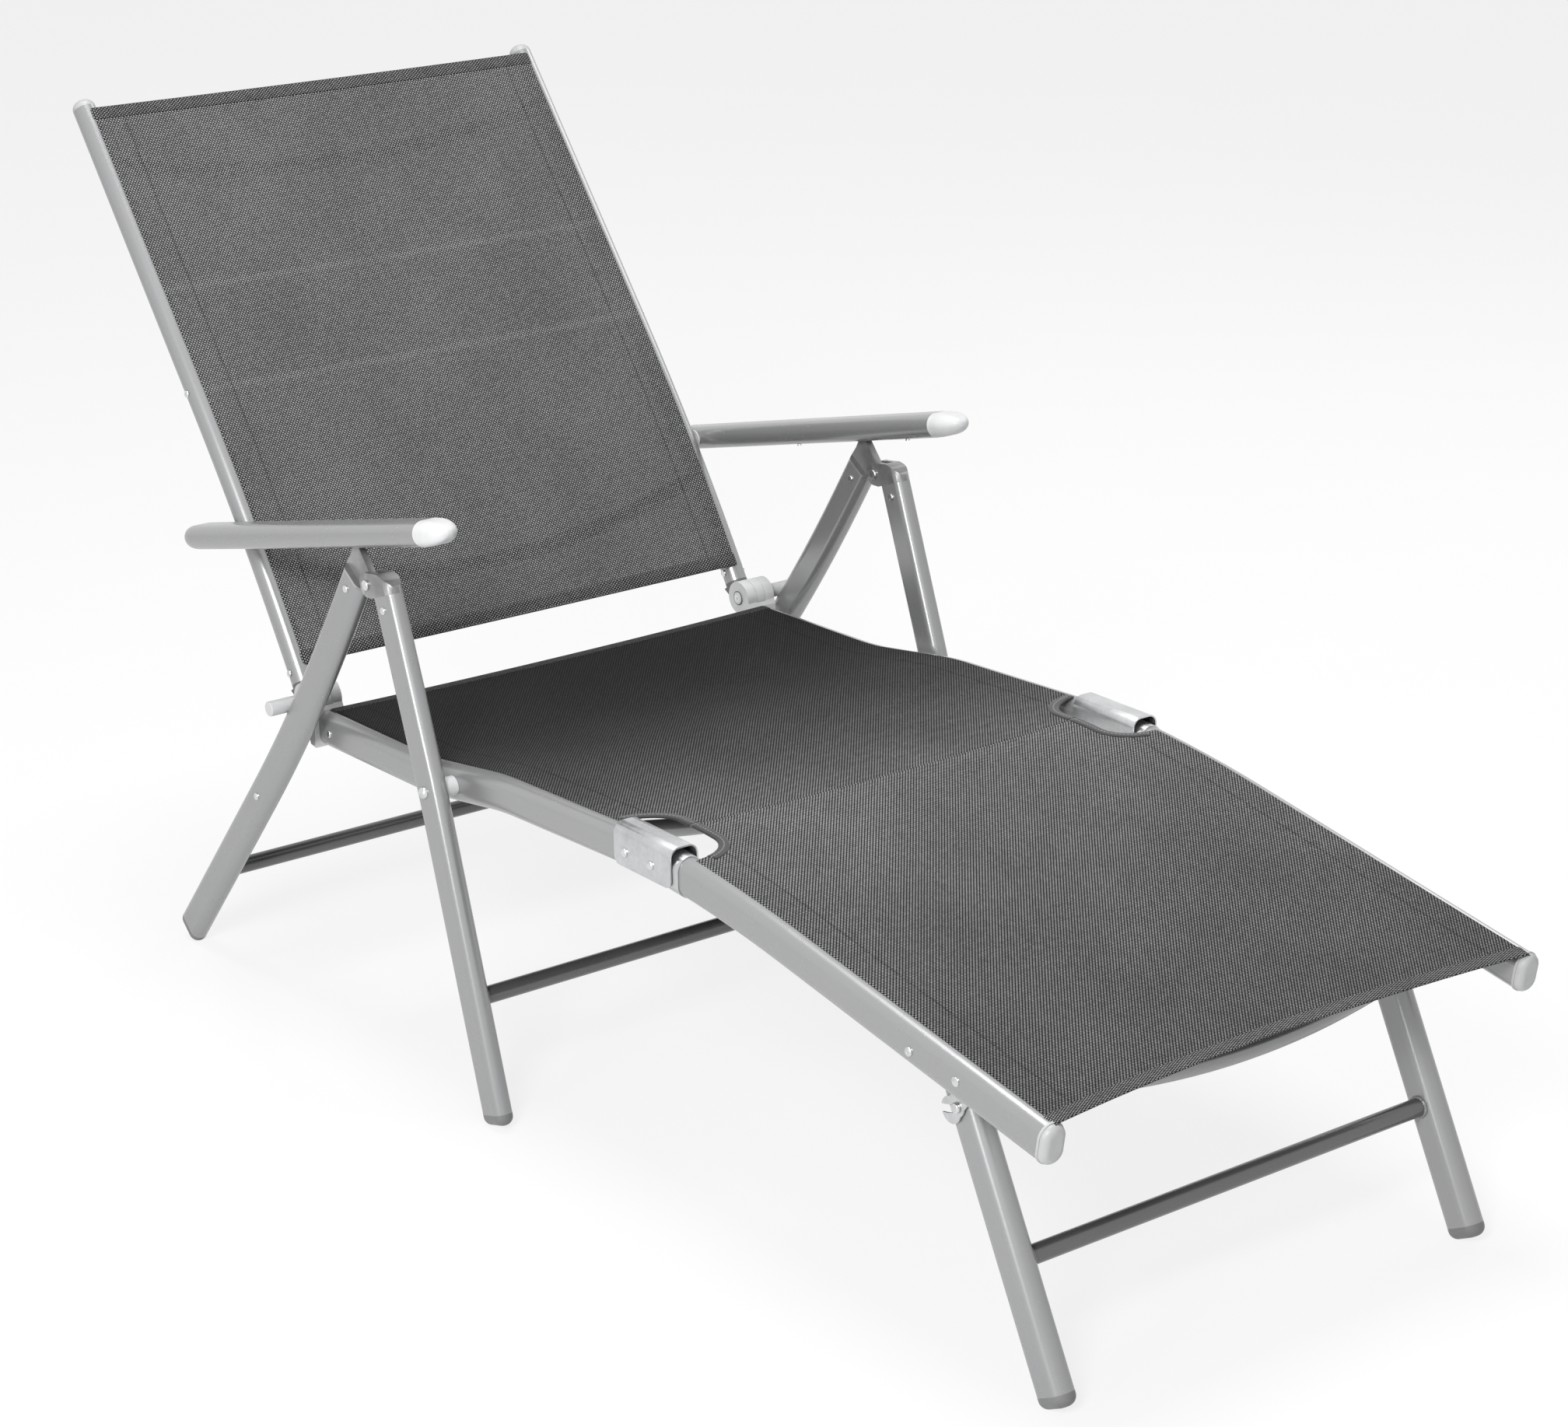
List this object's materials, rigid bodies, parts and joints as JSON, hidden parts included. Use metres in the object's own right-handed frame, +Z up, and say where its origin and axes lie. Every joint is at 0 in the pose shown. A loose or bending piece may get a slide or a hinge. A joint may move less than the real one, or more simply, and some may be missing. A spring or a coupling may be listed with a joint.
{
  "type": "folding sun lounger",
  "caption": "Folding sun lounger with stretched mesh slings, reclining back, pivoting armrests and folding tube legs.",
  "frame": {"origin": "middle of the footprint, on the floor", "axes": "+Z up, +Y towards the head end, -Y towards the foot end, +X to the occupant's left"},
  "size_m": [0.68, 1.6188, 0.9056],
  "materials": {
    "silver_paint": "glossy metallic silver-grey powder coat",
    "crossbar_paint": "glossy metallic mid-grey powder coat",
    "light_plastic": "satin light grey moulded plastic",
    "grey_plastic": "satin mid-grey moulded plastic",
    "cast_grey": "satin dark grey coated casting",
    "zinc_plate": "bright spangled zinc plate",
    "bright_steel": "bright plated steel",
    "black_plastic": "matt black moulded plastic",
    "sling_cloth": "black and grey coated-yarn outdoor mesh"
  },
  "bodies": {
    "seat_frame": {"seat_rail_left": "silver_paint", "seat_rail_right": "silver_paint", "seat_spreader_rear": "silver_paint", "seat_spreader_knee": "silver_paint", "hinge_forks": "light_plastic", "fork_screws": "bright_steel", "stop_rods": "bright_steel", "leg_spacers": "light_plastic", "seat_sling": "sling_cloth"},
    "back_frame": {"back_rail_left": "silver_paint", "back_rail_right": "silver_paint", "back_top_caps": "light_plastic", "back_spreader_upper": "silver_paint", "back_spreader_lower": "silver_paint", "hinge_arms": "grey_plastic", "back_rivets": "bright_steel", "back_screws": "bright_steel", "armrest_bolts": "bright_steel", "back_sling": "sling_cloth", "armrest_bush_left": "light_plastic", "armrest_bush_right": "light_plastic"},
    "armrest_left": {"armrest_tube_left": "silver_paint", "armrest_cap_left": "light_plastic", "armrest_rack_left": "black_plastic", "rack_screws_left": "bright_steel"},
    "armrest_right": {"armrest_tube_right": "silver_paint", "armrest_cap_right": "light_plastic", "armrest_rack_right": "black_plastic", "rack_screws_right": "bright_steel"},
    "front_legs": {"front_leg_left": "silver_paint", "front_leg_right": "silver_paint", "front_crossbar": "crossbar_paint", "front_feet": "grey_plastic", "leg_top_forks": "cast_grey", "fork_rivets": "bright_steel", "leg_pivot_pins": "bright_steel", "seat_bolts": "bright_steel"},
    "rear_legs": {"rear_leg_left": "silver_paint", "rear_leg_right": "silver_paint", "rear_crossbar": "crossbar_paint", "rear_feet": "grey_plastic", "leg_top_tongues": "cast_grey", "rear_leg_rivets": "bright_steel"},
    "knee_links": {"knee_brackets": "zinc_plate", "knee_rivets": "bright_steel"},
    "foot_frame": {"foot_rail_left": "silver_paint", "foot_rail_right": "silver_paint", "knee_sleeves": "zinc_plate", "foot_end_caps": "light_plastic", "foot_spreader": "silver_paint", "stop_plates": "zinc_plate", "stop_plate_rivets": "bright_steel", "foot_sling": "sling_cloth"},
    "foot_legs": {"foot_leg_left": "silver_paint", "foot_leg_right": "silver_paint", "foot_crossbar": "crossbar_paint", "foot_leg_feet": "grey_plastic", "foot_leg_pins": "bright_steel", "latch_studs": "bright_steel"}
  },
  "joints": [
    {"name": "back_recline", "type": "hinge", "parent": "seat_frame", "child": "back_frame", "pos_m": [0, 0.35945, 0.3393], "axis": [1, 0, 0], "range_deg": [-51.4, 15]},
    {"name": "armrest_left_tilt", "type": "hinge", "parent": "back_frame", "child": "armrest_left", "pos_m": [0, 0.48295, 0.493], "axis": [1, 0, 0], "range_deg": [-10, 34]},
    {"name": "armrest_right_tilt", "type": "hinge", "parent": "back_frame", "child": "armrest_right", "pos_m": [0, 0.48295, 0.493], "axis": [1, 0, 0], "range_deg": [-10, 34]},
    {"name": "leg_fold", "type": "hinge", "parent": "seat_frame", "child": "front_legs", "pos_m": [0, 0.07824, 0.326], "axis": [1, 0, 0], "range_deg": [0, 86]},
    {"name": "rear_leg_close", "type": "hinge", "parent": "front_legs", "child": "rear_legs", "pos_m": [0, 0.16989, 0.5164], "axis": [1, 0, 0], "range_deg": [-54.5, 0]},
    {"name": "knee_upper", "type": "hinge", "parent": "seat_frame", "child": "knee_links", "pos_m": [0, -0.22211, 0.3475], "axis": [1, 0, 0], "range_deg": [0, 57.5]},
    {"name": "knee_lower", "type": "hinge", "parent": "knee_links", "child": "foot_frame", "pos_m": [0, -0.26351, 0.3475], "axis": [1, 0, 0], "range_deg": [0, 57.5]},
    {"name": "foot_leg_fold", "type": "hinge", "parent": "foot_frame", "child": "foot_legs", "pos_m": [0, -0.63362, 0.293], "axis": [1, 0, 0], "range_deg": [0, 115]}
  ],
  "couplings": [
    {"joint": "armrest_left_tilt", "follows": "back_recline", "ratio": -0.65},
    {"joint": "armrest_right_tilt", "follows": "back_recline", "ratio": -0.65},
    {"joint": "rear_leg_close", "follows": "leg_fold", "ratio": -0.63},
    {"joint": "knee_lower", "follows": "knee_upper", "ratio": 1}
  ]
}
